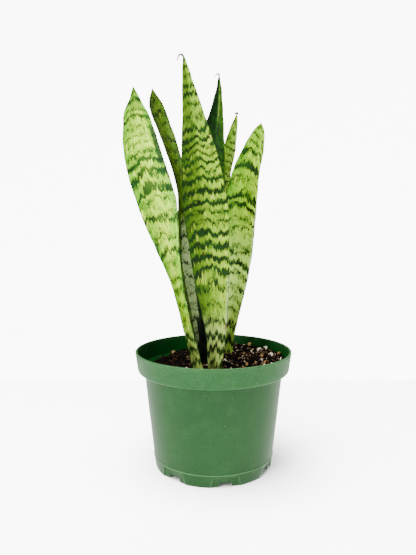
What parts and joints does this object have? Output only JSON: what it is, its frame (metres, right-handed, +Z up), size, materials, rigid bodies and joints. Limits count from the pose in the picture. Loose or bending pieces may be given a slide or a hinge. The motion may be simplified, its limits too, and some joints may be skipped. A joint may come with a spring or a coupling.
{
  "type": "potted snake plant",
  "caption": "Potted snake plant: stiff upright banded leaves on a buried rhizome, in potting soil with bark chips, in a round tapered plastic nursery pot with drain notches.",
  "frame": {"origin": "on the pot's axis, in the plane of the foot ring that the pot stands on", "axes": "+Z up along the pot's axis; -Y is the front, where the broad sides of the leaves face; +X to the right"},
  "size_m": [0.1575, 0.156, 0.4031],
  "materials": {
    "pot_plastic": "satin moulded polypropylene, mid green",
    "soil": "damp dark fibrous potting mix",
    "rhizome": "pale orange-brown skin of a buried creeping stem",
    "leaf_pale": "waxy pale green leaf with dark green cross bands",
    "leaf_lit": "waxy yellow-green leaf with dark green cross bands",
    "leaf_shaded": "waxy olive green leaf with faint bands",
    "leaf_dark": "glossy dark green leaf",
    "bark_chip": "dry cream-coloured curled bark"
  },
  "bodies": {
    "root": {"pot": "pot_plastic", "soil": "soil", "rhizome": "rhizome", "leaf_front_left": "leaf_pale", "leaf_tall_centre": "leaf_lit", "leaf_back_left": "leaf_shaded", "leaf_back_dark": "leaf_dark", "leaf_back_pale": "leaf_lit", "leaf_right": "leaf_lit", "bark_chip_01": "bark_chip", "bark_chip_02": "bark_chip", "bark_chip_03": "bark_chip", "bark_chip_04": "bark_chip", "bark_chip_05": "bark_chip", "bark_chip_06": "bark_chip", "bark_chip_07": "bark_chip", "bark_chip_08": "bark_chip", "bark_chip_09": "bark_chip", "bark_chip_10": "bark_chip", "bark_chip_11": "bark_chip", "bark_chip_12": "bark_chip"}
  },
  "joints": []
}
